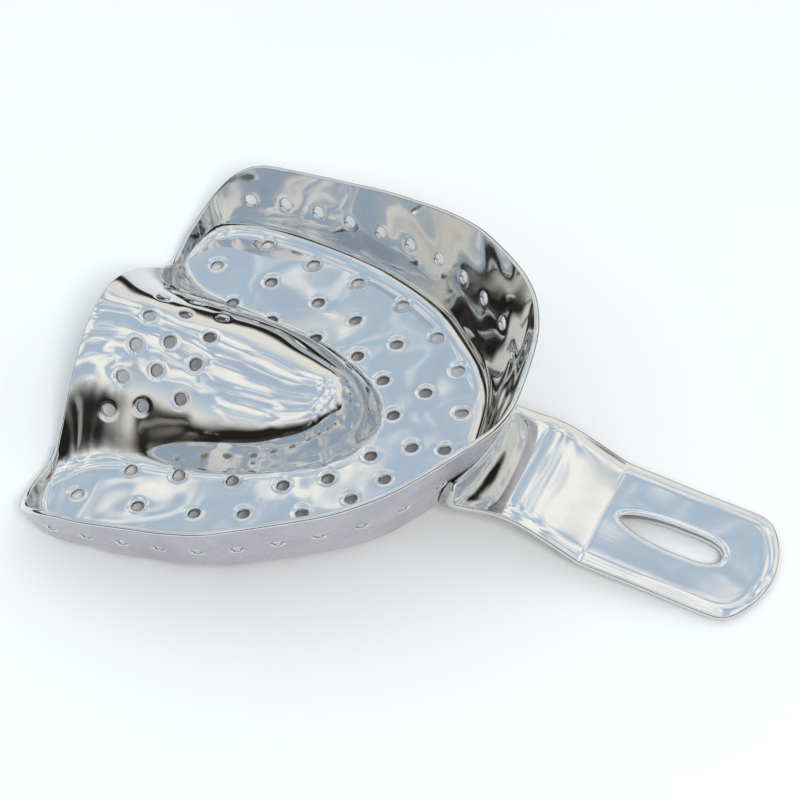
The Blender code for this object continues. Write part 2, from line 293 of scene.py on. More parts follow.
@dataclass
class Sheet:
    """A bent sheet made of charts that meet along seams, as thick as given unless a chart says otherwise."""

    thickness: float
    edge_bulge: float
    edge_steps: int = 5
    edge_square: float = 1.0
    merge: float = 1e-3

    def build(self, charts: Sequence[Chart]) -> Shape:
        """Meets the charts, gives them thickness and rounds every free edge.

        Args:
            charts: The charts of one sheet.

        Returns:
            The vertices, their normals, the faces and each face's place.
        """
        parts, triangles = [], []
        count = 0
        for chart in charts:
            plan, faces = chart.mesh()
            first, second = slopes(chart.surface, plan)
            normal = unit(np.cross(first, second)) * chart.up
            half, tilt = np.full(len(plan), self.thickness / 2), np.zeros((len(plan), 3))
            if chart.thickness:
                half = chart.thickness(plan) / 2
                for grow, way in zip(slopes(chart.thickness, plan), (first, second)):
                    tilt += (grow / 2 / np.sum(way**2, -1))[:, None] * way
            parts.append(np.concatenate([chart.surface(plan), normal, half[:, None], tilt], -1))
            triangles.append(faces + count)
            count += len(plan)
        rows, faces = np.concatenate(parts), np.concatenate(triangles)
        points, normal, skin, faces = self._weld(rows[:, :3], rows[:, 3:6], rows[:, 6:], faces)
        return self._thicken(points, normal, skin[:, :1], skin[:, 1:], faces)

    def _weld(
        self, points: Array, normal: Array, skin: Array, faces: Array
    ) -> tuple[Array, Array, Array, Array]:
        """Joins the points that two charts share."""
        keys = np.round(points / self.merge).astype(np.int64)
        _, first, index = np.unique(keys, axis=0, return_index=True, return_inverse=True)
        index = index.reshape(-1)
        summed = np.zeros((len(first), 3))
        np.add.at(summed, index, normal)
        faces = index[faces]
        solid = (faces[:, 0] != faces[:, 1]) & (faces[:, 1] != faces[:, 2]) & (faces[:, 2] != faces[:, 0])
        faces = faces[solid]
        used, compact = np.unique(faces, return_inverse=True)
        return points[first][used], unit(summed)[used], skin[first][used], compact.reshape(faces.shape)

    def _thicken(
        self, points: Array, normal: Array, half: Array, tilt: Array, faces: Array
    ) -> Shape:
        """Makes both skins and the band that rounds the free edges."""
        total = len(points)
        vertices = [points + normal * half, points - normal * half]
        turned = [unit(normal - tilt), unit(-normal - tilt)]
        made = [list(map(int, f)) for f in faces]
        places = [Face.INSIDE.value] * len(faces)
        made += [list(map(int, f[::-1] + total)) for f in faces]
        places += [Face.OUTSIDE.value] * len(faces)

        directed = {(int(f[i]), int(f[(i + 1) % 3])) for f in faces for i in range(3)}
        free = [(a, b) for a, b in directed if (b, a) not in directed]
        after = dict(free)
        before = {b: a for a, b in free}
        rim = sorted(after)
        row = {vertex: i for i, vertex in enumerate(rim)}
        way = unit(points[[after[v] for v in rim]] - points[[before[v] for v in rim]])
        out = unit(np.cross(way, normal[rim]))
        start = 2 * total
        for step in range(1, self.edge_steps):
            angle = QUARTER - math.pi * step / self.edge_steps
            rise, reach = math.sin(angle), math.cos(angle)
            shaped_rise = math.copysign(abs(rise) ** self.edge_square, rise)
            shaped_reach = reach**self.edge_square
            raised = normal[rim] * half[rim] * shaped_rise
            vertices.append(points[rim] + raised + out * self.edge_bulge * shaped_reach)
            turned.append(unit(normal[rim] * rise / half[rim] + out * reach / self.edge_bulge))

        def at(vertex: int, step: int) -> int:
            """Returns the index of a rim vertex at a step round the edge."""
            if step == 0:
                return vertex
            if step == self.edge_steps:
                return vertex + total
            return start + (step - 1) * len(rim) + row[vertex]

        for a, b in sorted(free):
            for step in range(self.edge_steps):
                made.append([at(b, step), at(a, step), at(a, step + 1), at(b, step + 1)])
                places.append(Face.INSIDE.value)
        return np.concatenate(vertices), np.concatenate(turned), made, places


# Shader expressions


class Signal:
    """A socket whose values can be used in Python expressions."""

    def __init__(self, board: "Board", socket: bpy.types.NodeSocket) -> None:
        """Keeps the socket and the board that it belongs to."""
        self.board = board
        self.socket = socket

    def _with(self, operation: str, first: object, second: object) -> "Signal":
        """Returns the result of one Math node."""
        return self.board.node("ShaderNodeMath", {"operation": operation}, {0: first, 1: second})

    def __add__(self, other: object) -> "Signal":
        """Returns the sum."""
        return self._with("ADD", self, other)

    __radd__ = __add__

    def __sub__(self, other: object) -> "Signal":
        """Returns the difference."""
        return self._with("SUBTRACT", self, other)

    def __rsub__(self, other: object) -> "Signal":
        """Returns the difference from another value."""
        return self._with("SUBTRACT", other, self)

    def __mul__(self, other: object) -> "Signal":
        """Returns the product."""
        return self._with("MULTIPLY", self, other)

    __rmul__ = __mul__

    def most(self, other: object) -> "Signal":
        """Returns the larger of two values."""
        return self._with("MAXIMUM", self, other)

    def ramp(self, low: float, high: float) -> "Signal":
        """Returns a smooth step from 0 at low to 1 at high."""
        settings = {"interpolation_type": "SMOOTHSTEP"}
        return self.board.node("ShaderNodeMapRange", settings, {0: self, 1: low, 2: high, 3: 0.0, 4: 1.0})


class Board:
    """A node tree that makes its nodes by one method."""

    def __init__(self, tree: bpy.types.NodeTree) -> None:
        """Empties the tree."""
        self.tree = tree
        tree.nodes.clear()

    def node(
        self,
        kind: str,
        settings: Mapping[str, object] | None = None,
        sockets: Mapping[int | str, object] | None = None,
        output: int | str = 0,
    ) -> Signal:
        """Makes a node.

        Args:
            kind: The node's type.
            settings: Attributes of the node, set first.
            sockets: Values or signals for its inputs, by index or name.
            output: The output that is returned.

        Returns:
            The chosen output as a signal, or the node's first input where it has no output.
        """
        made = self.tree.nodes.new(kind)
        for name, value in (settings or {}).items():
            setattr(made, name, value)
        for name, value in (sockets or {}).items():
            if isinstance(value, Signal):
                self.tree.links.new(value.socket, made.inputs[name])
            else:
                made.inputs[name].default_value = value
        return Signal(self, made.outputs[output] if len(made.outputs) else made.inputs[0])

    def blend(self, share: object, first: object, second: object) -> Signal:
        """Returns a colour between two colours."""
        return self.node("ShaderNodeMix", {"data_type": "RGBA"}, {0: share, 6: first, 7: second}, 2)

    def noise(
        self, place: Signal, scale: float, detail: float, rough: float = 0.5, warp: float = 0.0
    ) -> Signal:
        """Returns a noise value from 0 to 1 at a place."""
        sockets = {"Vector": place, "Scale": scale, "Detail": detail, "Roughness": rough, "Distortion": warp}
        return self.node("ShaderNodeTexNoise", {"noise_dimensions": "3D"}, sockets)

    def stretched(self, place: Signal, factors: Sequence[float]) -> Signal:
        """Returns a place scaled by a factor on each axis."""
        return self.node("ShaderNodeVectorMath", {"operation": "MULTIPLY"}, {0: place, 1: tuple(factors)})

    def metal(self, colour: Signal, rough: Signal, height: Signal, strength: float, depth: float) -> None:
        """Ends the tree with a bare metal surface whose normal follows a height."""
        sockets = {"Strength": strength, "Distance": depth, "Height": height}
        normal = self.node("ShaderNodeBump", None, sockets)
        sockets = {"Base Color": colour, "Metallic": 1.0, "Roughness": rough, "Normal": normal}
        shader = self.node("ShaderNodeBsdfPrincipled", None, sockets)
        self.node("ShaderNodeOutputMaterial", None, {"Surface": shader})


def new_material(name: str) -> tuple[bpy.types.Material, Board]:
    """Returns a new material and the board for its nodes."""
    material = bpy.data.materials.new(name)
    material.use_nodes = True
    return material, Board(material.node_tree)


def set_in_scene(name: str, data: bpy.types.ID) -> bpy.types.Object:
    """Returns a new object that is linked to the scene."""
    made = bpy.data.objects.new(name, data)
    bpy.context.scene.collection.objects.link(made)
    return made


def grey(level: float) -> Colour:
    """Returns a neutral colour."""
    return (level, level, level, 1.0)


# Finishes


@dataclass(frozen=True)
class SteelFinish:
    """A bare steel surface, from mirror polish to satin.

    The polish leaves faint drag lines and clouded patches, and handling leaves fine scratches.
    """

    name: str
    bright: Colour
    dull: Colour
    roughness: float
    cloud: float
    drag: float
    lines: tuple[float, float, float]
    patch_scale: float = 130.0
    speck_scale: float = 2600.0
    speck_share: float = 0.35
    depth: float = 2e-5

    def make(self) -> bpy.types.Material:
        """Makes the material.

        Returns:
            A material whose colour, roughness and normal vary over the piece.
        """
        material, board = new_material(self.name)
        place = board.node("ShaderNodeTexCoord", output="Object")
        patches = board.noise(place, self.patch_scale, 3.0, 0.55)
        grain = board.noise(board.stretched(place, self.lines), 1.0, 3.0, 0.6)
        specks = board.noise(place, self.speck_scale, 2.0)
        clouded = patches.ramp(0.42, 0.72)
        colour = board.blend(clouded * 0.6 + grain.ramp(0.5, 0.8) * 0.3, self.bright, self.dull)
        rough = clouded * self.cloud + grain.ramp(0.45, 0.75) * self.cloud * 0.6 + self.roughness
        board.metal(colour, rough, grain + specks * self.speck_share, self.drag, self.depth)
        return material


@dataclass(frozen=True)
class BrazeFinish:
    """The cleaned braze metal beside the foot: matt, slightly warm and faintly rippled."""

    name: str = "braze_metal"
    bright: Colour = (0.46, 0.45, 0.44, 1.0)
    dull: Colour = (0.30, 0.29, 0.28, 1.0)
    roughness: float = 0.30
    drag: float = 0.5
    depth: float = 8e-5
    lines: tuple[float, float, float] = (300.0, 300.0, 900.0)
    flux_scale: float = 900.0

    def make(self) -> bpy.types.Material:
        """Makes the material.

        Returns:
            A material with ripples along the seam and darker flux in scattered patches.
        """
        material, board = new_material(self.name)
        place = board.node("ShaderNodeTexCoord", output="Object")
        ripple = board.noise(board.stretched(place, self.lines), 1.0, 2.0)
        flux = board.noise(place, self.flux_scale, 3.0, 0.6)
        colour = board.blend(flux.ramp(0.45, 0.75), self.bright, self.dull)
        rough = flux * 0.2 + self.roughness
        board.metal(colour, rough, ripple, self.drag, self.depth)
        return material


POLISHED_SHELL = SteelFinish(
    "polished_shell",
    bright=(0.71, 0.71, 0.71, 1.0),
    dull=(0.63, 0.63, 0.64, 1.0),
    roughness=0.035,
    cloud=0.05,
    drag=0.10,
    lines=(350.0, 350.0, 90.0),
)
# Satin outside of the shell: the roughness is real, and the lavender tint in both colours is a painted
# reflection of a shaded lavender floor.
SATIN_SHELL_PAINTED_REFLECTION = SteelFinish(
    "satin_shell_painted_reflection",
    bright=(0.55, 0.54, 0.58, 1.0),
    dull=(0.46, 0.45, 0.49, 1.0),
    roughness=0.26,
    cloud=0.10,
    drag=0.35,
    lines=(300.0, 300.0, 1100.0),
)
POLISHED_STRIP = SteelFinish(
    "polished_strip",
    bright=(0.73, 0.73, 0.73, 1.0),
    dull=(0.65, 0.65, 0.65, 1.0),
    roughness=0.04,
    cloud=0.05,
    drag=0.08,
    lines=(120.0, 900.0, 300.0),
)


# The frame of the tray


@dataclass
class Stance:
    """How the tray lies on the table: the tray's own frame, tilted on its handle tip."""

    mount: str = "floor_underside"
    mount_point: tuple[float, float, float] = (5.0, 4.0, -0.45)

    def matrix(self) -> Matrix:
        """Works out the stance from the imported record.

        Returns:
            The matrix that takes the tray's own frame, in metres, to the row frame.
        """
        found = next(m for m in frame["record"]["mounts"] if m["name"] == self.mount)
        down = Vector(found["axis"])
        turn = Matrix.Rotation(-math.atan2(down.x, -down.z), 4, "Y")
        moved = turn @ (Vector(self.mount_point) * MM)
        return Matrix.Translation(Vector(found["pos_m"]) - moved) @ turn


@dataclass
class Bench:
    """Turns meshes in the tray's own frame into pieces that ride on the object."""

    stance: Matrix

    def piece(
        self,
        name: str,
        shape: Shape,
        materials: Sequence[bpy.types.Material],
        nodes: Sequence[str],
    ) -> bpy.types.Object:
        """Makes one piece.

        Args:
            name: The piece's name.
            shape: Its vertices in millimetres, normals, faces and face places.
            materials: One material for each place.
            nodes: The solids that it stands for.

        Returns:
            The piece, riding on the object.
        """
        vertices, normals, faces, places = shape
        turn = np.array(self.stance.to_3x3())
        moved = vertices * MM @ turn.T + np.array(self.stance.translation)
        mesh = bpy.data.meshes.new(name)
        mesh.from_pydata(moved.tolist(), [], faces)
        for material in materials:
            mesh.materials.append(material)
        mesh.polygons.foreach_set("material_index", places)
        mesh.polygons.foreach_set("use_smooth", [True] * len(faces))
        mesh.update()
        mesh.normals_split_custom_set_from_vertices((normals @ turn.T).tolist())
        made = set_in_scene(name, mesh)
        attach(made, "root")
        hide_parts(*nodes)
        LOG.info("%s: %d faces", name, len(faces))
        return made


# The pieces


@dataclass
class TrayShell:
    """The drawn and perforated shell: trough floor, palate vault and the wall round them."""

    sheet: float = 0.9
    arch_centre: float = -36.0
    arch_length: float = 48.8
    arch_half_width: float = 34.2
    heel_length: float = 13.2
    heel_width: float = 14.2
    heel_squareness: float = 3.5
    rear_edge: float = -48.6
    fillet: float = 2.6
    fillet_share: float = 0.45
    side_height: float = 11.4
    front_rise: float = 9.4
    front_rise_power: float = 1.4
    frenum_dip: float = 4.5
    frenum_angle: float = math.radians(12.0)
    heel_power: float = 4.1
    heel_lip: float = 3.0
    heel_lip_end: float = 0.25
    heel_lip_power: float = 8.0
    side_lean: float = 0.35
    front_lean: float = 0.50
    vault_rear_height: float = 17.0
    vault_nose_height: float = 9.0
    vault_nose: float = -4.6
    vault_nose_round: float = 7.0
    vault_nose_fullness: float = 0.75
    vault_narrowing: float = 2.6
    vault_half_width: float = 16.6
    vault_flare: float = 7.0
    vault_flare_length: float = 6.0
    vault_power: float = 1.5
    vault_nose_power: float = 0.85
    vault_power_length: float = 0.55
    vault_overrun: float = 3.0
    vault_ease: float = 1.3
    vault_centre_share: float = 3.0
    vault_taps: tuple[tuple[float, float, int], ...] = ((0.35, 2.5, 6), (0.7, 1.6, 9), (1.0, 0.7, 12))
    vault_rows_apart: float = 0.4
    vault_row_spread: float = 1.5
    vault_first_row: int = -6
    vault_last_row: int = 4
    hole_radius: float = 1.22
    hole_sink: float = 0.07
    hole_roll: float = 0.34
    vault_sink_share: float = 0.7
    wall_sink_share: float = 0.25
    seam_inset: float = 7.0
    pitch: float = 0.75
    fillet_pitch: float = 0.45
    row_space: float = 0.7
    tallest: float = 26.0
    inner_row: Spots = (
        (-37.5, 18.5), (-30.0, 17.0), (-21.5, 15.5), (-13.5, 14.0), (-7.5, 10.5), (-3.0, 4.3)
    )
    middle_row: Spots = (
        (-43.5, 25.3), (-33.5, 24.5), (-24.5, 23.0), (-17.0, 21.0), (-8.5, 18.0)
    )
    outer_row: Spots = (
        (-37.5, 31.8), (-28.5, 30.0), (-20.0, 28.5), (-11.0, 26.0), (-3.0, 21.4), (3.0, 16.0), (7.0, 8.0)
    )
    front_holes: Spots = ((-2.5, -13.0), (1.0, -8.0), (2.5, -1.0), (0.0, 10.0), (7.6, 0.0))
    vault_rows: tuple[tuple[float, tuple[float, ...]], ...] = (
        (-40.4, (0.0, 4.8, 9.0, 13.0)), (-35.7, (2.8, 7.0, 11.3)), (-30.3, (0.0, 4.8, 9.4))
    )
    vault_row_bow: float = 0.015
    wall_holes: int = 11
    wall_hole_first: float = 12.0
    wall_hole_pitch: float = 5.9
    wall_hole_share: float = 0.52
    hammer_marks: Waves = (
        (0.62, 0.20, 0.10, 0.4, 1.0), (-0.18, 0.55, 0.36, 1.9, 0.9), (0.35, -0.48, 0.52, 3.1, 0.8),
        (0.95, 0.30, -0.42, 4.4, 0.5), (-0.52, 0.88, 0.30, 5.3, 0.5), (0.28, -0.20, 0.95, 0.9, 0.6),
    )
    floor_ripple: float = 0.012
    wall_ripple: float = 0.026
    ripple_start: float = 2.0
    ripple_rise: float = 7.0
    heel_margin: float = 1.5
    heel_fade: float = 9.0
    bend_reach: float = 3.0
    wall_turn: float = 0.7
    press_waves: Waves = (
        (0.21, 0.13, 0.6, 0.16), (-0.11, 0.27, 2.2, 0.13), (0.33, -0.17, 4.0, 0.09), (0.08, 0.36, 5.1, 0.07)
    )
    punched: list[Hole] = field(default_factory=list)

    def __post_init__(self) -> None:
        """Measures the floor's edge, so that places can be found along it."""
        stations = np.linspace(0.0, 2.0, 6001)
        edge, _ = self.edge(stations)
        steps = np.hypot(*np.diff(edge, axis=0).T)
        self._stations = stations
        self._distances = np.concatenate([[0.0], np.cumsum(steps)])

    @property
    def edge_length(self) -> float:
        """The length of the floor's edge from the front to a heel."""
        return float(self._distances[-1])

    def edge(self, station: Array) -> tuple[Array, Array]:
        """Follows the floor's edge on the left.

        Args:
            station: From 0 at the front through 1 at the widest place to 2 at the heel.

        Returns:
            The plan points of the edge and their outward directions.
        """
        front = station <= 1.0
        angle = np.where(front, station, station - 1.0) * QUARTER
        c, s = np.cos(angle), np.sin(angle)
        c, s = c.clip(0.0), s.clip(0.0)
        power = 2.0 / self.heel_squareness
        x = self.arch_centre + np.where(front, self.arch_length * c, -self.heel_length * s**power)
        heel_y = self.arch_half_width - self.heel_width + self.heel_width * c**power
        y = np.where(front, self.arch_half_width * s, heel_y)
        out_x = np.where(front, c / self.arch_length, -(s ** (2 - power)) / self.heel_length)
        out_y = np.where(front, s / self.arch_half_width, c ** (2 - power) / self.heel_width)
        return pair(x, y), unit(pair(out_x, out_y))

    def station_of(self, distance: Array) -> Array:
        """Returns the station at a distance along the edge from the front."""
        return np.interp(distance, self._distances, self._stations)

    def wall_height(self, station: Array) -> Array:
        """Returns the height of the rim above the floor."""
        front = np.minimum(station, 1.0) * QUARTER
        heel = np.clip(station - 1.0, 0.0, 1.0) * QUARTER
        bump = self.front_rise * np.cos(front).clip(0.0) ** self.front_rise_power
        ahead = self.side_height + bump - self.frenum_dip * np.exp(-((front / self.frenum_angle) ** 2))
        fall = np.cos(heel).clip(0.0) ** self.heel_power
        fade = (heel / QUARTER) ** self.heel_lip_power
        lip = self.heel_lip - (self.heel_lip - self.heel_lip_end) * fade
        behind = lip + (self.side_height - self.heel_lip) * fall
        return np.where(station > 1.0, behind, ahead)

    def wall_slope(self, station: Array) -> Array:
        """Returns the direction in which the left wall rises."""
        _, outward = self.edge(station)
        share = np.cos(np.minimum(station, 1.0) * QUARTER) ** 2
        lean = self.side_lean + (self.front_lean - self.side_lean) * share
        return unit(raised(outward * lean[:, None], 1.0))

    def wall_point(self, station: Array, height: Array, outside: Array | float) -> Array:
        """Returns points on the left wall at a height, or a distance outside it."""
        edge, outward = self.edge(station)
        slope = self.wall_slope(station)
        flat = raised(outward)
        normal = unit(flat - slope * np.sum(flat * slope, -1, keepdims=True))
        return raised(edge) + slope * (height / slope[:, 2])[:, None] + normal * outside

    def vault_height(self, x: Array, y: Array) -> Array:
        """Returns the height of the palate vault over the floor, with its base and nose eased."""
        weight = self.vault_centre_share
        total = weight * self._plain_vault(x, y)
        for reach, share, count in self.vault_taps:
            away = self.vault_ease * reach
            for i in range(count):
                turn = (i + reach) * 2 * math.pi / count
                near = self._plain_vault(x + away * math.cos(turn), y + away * math.sin(turn))
                total = total + share * near
                weight += share
        return total / weight

    def _plain_vault(self, x: Array, y: Array) -> Array:
        """Returns the height of the vault before its base and nose are eased."""
        behind = np.maximum(x - self.rear_edge, -self.vault_overrun)
        along = np.clip(behind / (self.vault_nose - self.rear_edge), 0.0, 1.0)
        ridge = self.vault_rear_height + (self.vault_nose_height - self.vault_rear_height) * along
        flare = self.vault_flare * np.exp(-behind / self.vault_flare_length)
        short = 1.0 - np.clip((self.vault_nose - x) / self.vault_nose_round, 0.0, 1.0)
        rounding = (1.0 - short**2) ** self.vault_nose_fullness
        width = self.vault_half_width * np.sqrt(1.0 - along**self.vault_narrowing) + flare
        ahead = smooth(along / self.vault_power_length)
        power = self.vault_power + (self.vault_nose_power - self.vault_power) * ahead
        return ridge * rounding * np.maximum(1.0 - (y / width) ** 2, 0.0) ** power

    def vault_base(self) -> Array:
        """Returns rows of plan points that follow the vault's base, so that the mesh creases along it."""
        turn = np.linspace(0.0, QUARTER, 2000)
        along = np.sin(turn) ** (2.0 / self.vault_narrowing)
        x = self.rear_edge + along * (self.vault_nose - self.rear_edge)
        flare = self.vault_flare * np.exp((self.rear_edge - x) / self.vault_flare_length)
        half = pair(x, self.vault_half_width * np.cos(turn) + flare * np.cos(turn))
        line = np.concatenate([half, half[:-1][::-1] * MIRROR])
        distance = np.concatenate([[0.0], np.cumsum(np.hypot(*np.diff(line, axis=0).T))])
        apart = self.vault_row_spread * self.vault_rows_apart
        even = np.linspace(0.0, distance[-1], int(distance[-1] / apart))
        base = np.stack([np.interp(even, distance, line[:, i]) for i in range(2)], -1)
        way = unit(np.gradient(base, axis=0))
        out = np.stack([-way[:, 1], way[:, 0]], -1)
        steps = np.arange(self.vault_first_row, self.vault_last_row + 1) * self.vault_rows_apart
        return np.stack([base + out * step for step in steps])

    def ripple(self, points: Array) -> Array:
        """Returns the slight unevenness that drawing and hand polishing leave."""
        high = smooth((points[:, 2] - self.ripple_start) / self.ripple_rise)
        lift = self.floor_ripple + (self.wall_ripple - self.floor_ripple) * high
        held = smooth((points[:, 0] - self.rear_edge + self.heel_margin) / self.heel_fade)
        return sines(points, self.hammer_marks) * lift + sines(points[:, :2], self.press_waves) * held

    def plain_middle(self, plan: Array) -> Array:
        """Maps the middle of the floor and the vault, before holes and ripples."""
        x, y = plan.T
        return np.stack([x, y, self.vault_height(x, y)], -1)

    def plain_border(self, plan: Array) -> Array:
        """Maps the floor's border, fillet and wall, before holes and ripples.

        Args:
            plan: The distance along the edge, left positive, and the distance out across the section.

        Returns:
            The points on the middle of the sheet.
        """
        along, across = plan.T
        station = self.station_of(np.abs(along))
        edge, outward = self.edge(station)
        slope = self.wall_slope(station)
        fillet = np.minimum(self.fillet, self.fillet_share * self.wall_height(station))
        base, flat = raised(edge), raised(outward)
        t = np.clip((across + fillet) / (2 * fillet), 0.0, 1.0)[:, None]
        start, end = base - flat * fillet[:, None], base + slope * fillet[:, None]
        bent = (1 - t) ** 2 * start + 2 * (1 - t) * t * base + t**2 * end
        inward, upward = np.minimum(across + fillet, 0.0), np.maximum(across - fillet, 0.0)
        bent += flat * inward[:, None] + slope * upward[:, None]
        bent[:, 2] += self.vault_height(bent[:, 0], bent[:, 1])
        bent[:, 1] *= np.where(along < 0.0, -1.0, 1.0)
        return bent

    def _worked(self, points: Array, way: Array) -> Array:
        """Adds the ripple and the rolled edges of the holes."""
        moved = points + way * self.ripple(points)[:, None]
        for hole in self.punched:
            moved += hole.dip(points, self.hole_roll)
        return moved

    def middle(self, plan: Array) -> Array:
        """Maps the middle of the floor and the vault."""
        return self._worked(self.plain_middle(plan), UP)

    def border(self, plan: Array) -> Array:
        """Maps the floor's border, fillet and wall."""
        along, across = plan.T
        station = self.station_of(np.abs(along))
        _, outward = self.edge(station)
        tilt = smooth((across + self.bend_reach) / (2 * self.bend_reach))[:, None]
        flip = np.where(along < 0.0, -1.0, 1.0)
        inward = np.stack([-outward[:, 0], -outward[:, 1] * flip, np.zeros(len(plan))], -1)
        way = unit(inward * tilt + UP * (1.0 - self.wall_turn * tilt))
        return self._worked(self.plain_border(plan), way)

    def rim(self, along: Array) -> Array:
        """Returns how far out across the section the rim lies."""
        station = self.station_of(np.abs(along))
        return self.wall_height(station) / self.wall_slope(station)[:, 2]

    def border_place(self, x: float, y: float) -> Array:
        """Returns a floor point's place on the border's chart."""
        edge, outward = self.edge(self._stations)
        offset = np.array([x, abs(y)]) - edge
        nearest = int(np.argmin(np.hypot(*offset.T)))
        return np.array([math.copysign(self._distances[nearest], y), offset[nearest] @ outward[nearest]])

    def _drill(self) -> tuple[list[Hole], list[Hole]]:
        """Places every perforation.

        Returns:
            The holes on the middle chart and those on the border chart.
        """
        rows = self.inner_row + self.middle_row + self.outer_row
        spots = [(x, y * side.value) for x, y in rows for side in Side]
        spots += list(self.front_holes)
        middle, border = [], []
        for x, y in spots:
            place = self.border_place(x, y)
            if place[1] > -self.seam_inset:
                border.append(Hole(place, self.hole_radius, self.hole_sink))
            else:
                middle.append(Hole(np.array([x, y]), self.hole_radius, self.hole_sink))
        for row, across in self.vault_rows:
            for y in across:
                for way in (1.0, -1.0)[: 2 if y else 1]:
                    spot = np.array([row - self.vault_row_bow * y * y, y * way])
                    middle.append(Hole(spot, self.hole_radius, self.hole_sink * self.vault_sink_share))
        for i in range(self.wall_holes):
            for side in Side:
                along = (self.wall_hole_first + self.wall_hole_pitch * i) * side.value
                across = self.wall_hole_share * self.rim(np.array([along]))[0]
                sink = self.hole_sink * self.wall_sink_share
                border.append(Hole(np.array([along, across]), self.hole_radius, sink))
        for hole in middle:
            hole.settle(self.plain_middle, 1.0)
        for hole in border:
            hole.settle(self.plain_border, -1.0)
        self.punched = middle + border
        return middle, border

    def charts(self) -> list[Chart]:
        """Lays out the two plans that make the shell.

        Returns:
            The middle of the floor with the vault, and the border with the wall.
        """
        middle_holes, border_holes = self._drill()
        length = self.edge_length
        count = int(length / self.pitch)
        along = np.linspace(0.0, length, count + 1)
        end_height = self.wall_height(np.array([2.0]))[0]
        corner = -min(self.fillet, self.fillet_share * end_height)
        heel = np.linspace(-self.seam_inset, corner, int(self.seam_inset / self.pitch) + 1)

        seam = self.plain_border(pair(along, -self.seam_inset))[:, :2]
        close = self.plain_border(pair(length, heel[1:]))[:, :2]
        left = np.concatenate([seam, close])
        share = np.linspace(0.0, 1.0, int(left[-1][1] / self.pitch) + 1)[1:, None]
        rear = left[-1] + (np.array([self.rear_edge, 0.0]) - left[-1]) * share
        half = np.concatenate([left, rear])
        other = half[1:-1][::-1] * MIRROR
        outline = np.concatenate([half, other])
        fill = honeycomb(outline.min(0), outline.max(0), self.pitch)
        fill = with_rows(fill, self.vault_base(), self.row_space * self.pitch)
        middle = Chart(self.middle, outline, fill, 1.0, holes=middle_holes, spacing=self.pitch)

        both = np.concatenate([-along[::-1], along[1:]])
        low = pair(both, -self.seam_inset)
        lip = np.linspace(corner, self.rim(np.array([length]))[0], 3)
        right_end = pair(length, np.concatenate([heel[1:], lip[1:]]))
        top = pair(both[::-1], self.rim(both[::-1]))[1:-1]
        left_end = right_end[::-1] * -MIRROR
        frame_line = np.concatenate([low, right_end, top, left_end])
        rows = np.concatenate([
            np.arange(-self.seam_inset + self.pitch, -self.fillet, self.pitch),
            np.arange(-self.fillet, self.fillet, self.fillet_pitch),
            np.arange(self.fillet, self.tallest, self.pitch),
        ])
        u, v = np.meshgrid(np.linspace(-length, length, 2 * count)[1:-1], rows)
        fill = pair(u.ravel(), v.ravel())
        border = Chart(self.border, frame_line, fill, -1.0, holes=border_holes, spacing=self.pitch)
        return [middle, border]

    def build(self, bench: Bench) -> bpy.types.Object:
        """Builds and dresses the shell.

        Args:
            bench: Where the piece is made.

        Returns:
            The shell.
        """
        shape = Sheet(self.sheet, edge_bulge=0.30, edge_steps=7).build(self.charts())
        # The outside takes the satin finish, whose lavender tint is a painted reflection of a shaded floor.
        materials = [POLISHED_SHELL.make(), SATIN_SHELL_PAINTED_REFLECTION.make()]
        return bench.piece("shell_sheet", shape, materials, ["tray_shell"])


